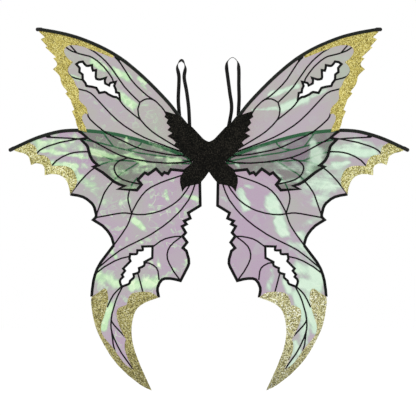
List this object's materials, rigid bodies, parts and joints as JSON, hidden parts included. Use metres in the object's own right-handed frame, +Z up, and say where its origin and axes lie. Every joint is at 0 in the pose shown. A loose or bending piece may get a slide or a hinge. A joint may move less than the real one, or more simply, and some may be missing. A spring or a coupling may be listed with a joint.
{
  "type": "costume fairy wings",
  "caption": "Costume fairy wings: iridescent film wings with black veins and gold edging on plug-in spars, round a covered hub with elastic shoulder loops.",
  "frame": {"origin": "on the back pad's rear face, where the axes of the two upper spars cross as seen from behind the wearer", "axes": "+Z up, +Y from the wings into the wearer's back, X across the wings; left is the wearer's left, at -X"},
  "size_m": [0.8828, 0.0319, 0.7977],
  "materials": {
    "film": "thin iridescent cellophane, lilac grey with green reflections",
    "black_flock": "flocked black print, matte",
    "gold_glitter": "gold glitter",
    "spar_sleeve": "shiny black woven tube",
    "rubber": "satin",
    "rod": "smooth rod",
    "cover_foam": "black glitter foam",
    "pad_felt": "black felt over foam",
    "fastener_tape": "hook and loop tape",
    "steel": "zinc plated",
    "elastic": "woven elastic",
    "moulding": "moulded, fine texture"
  },
  "bodies": {
    "hub": {"back_pad": "pad_felt", "hub_back_plate": "moulding", "hub_socket_block": "moulding", "hub_lid": "moulding", "hub_hook_tape": "fastener_tape", "hub_screw_1": "steel", "hub_screw_2": "steel", "hub_screw_3": "steel", "hub_screw_4": "steel", "strap_bar_right": "steel", "strap_bar_left": "steel"},
    "cover": {"cover": "cover_foam", "cover_loop_tape": "fastener_tape"},
    "upper_wing_right": {"upper_spar_right": "rod", "upper_sleeve_right": "spar_sleeve", "upper_tip_cap_right": "rubber", "upper_film_right": "film", "upper_veins_right": "black_flock", "upper_gold_right": "gold_glitter"},
    "lower_wing_right": {"lower_spar_right": "rod", "lower_sleeve_right": "spar_sleeve", "lower_tip_cap_right": "rubber", "lower_film_right": "film", "lower_veins_right": "black_flock", "lower_tip_gold_right": "gold_glitter", "lower_tail_gold_right": "gold_glitter"},
    "shoulder_strap_right": {"strap_right": "elastic", "strap_lap_right": "elastic"},
    "upper_wing_left": {"upper_spar_left": "rod", "upper_sleeve_left": "spar_sleeve", "upper_tip_cap_left": "rubber", "upper_film_left": "film", "upper_veins_left": "black_flock", "upper_gold_left": "gold_glitter"},
    "lower_wing_left": {"lower_spar_left": "rod", "lower_sleeve_left": "spar_sleeve", "lower_tip_cap_left": "rubber", "lower_film_left": "film", "lower_veins_left": "black_flock", "lower_tip_gold_left": "gold_glitter", "lower_tail_gold_left": "gold_glitter"},
    "shoulder_strap_left": {"strap_left": "elastic", "strap_lap_left": "elastic"}
  },
  "joints": [
    {"name": "cover_lift", "type": "slide", "parent": "hub", "child": "cover", "axis": [0, -1, 0], "range_m": [0, 0.03]},
    {"name": "upper_wing_pull_right", "type": "slide", "parent": "hub", "child": "upper_wing_right", "axis": [0.639, 0, 0.7692], "range_m": [0, 0.06]},
    {"name": "lower_wing_pull_right", "type": "slide", "parent": "hub", "child": "lower_wing_right", "axis": [0.9375, 0, 0.348], "range_m": [0, 0.024]},
    {"name": "strap_swing_right", "type": "hinge", "parent": "hub", "child": "shoulder_strap_right", "pos_m": [0.04065, -0.00345, 0.04423], "axis": [-0.639, 0, -0.7692], "range_deg": [0, 100]},
    {"name": "upper_wing_pull_left", "type": "slide", "parent": "hub", "child": "upper_wing_left", "axis": [-0.639, 0, 0.7692], "range_m": [0, 0.06]},
    {"name": "lower_wing_pull_left", "type": "slide", "parent": "hub", "child": "lower_wing_left", "axis": [-0.9375, 0, 0.348], "range_m": [0, 0.024]},
    {"name": "strap_swing_left", "type": "hinge", "parent": "hub", "child": "shoulder_strap_left", "pos_m": [-0.04065, -0.00345, 0.04423], "axis": [-0.639, 0, 0.7692], "range_deg": [0, 100]}
  ]
}
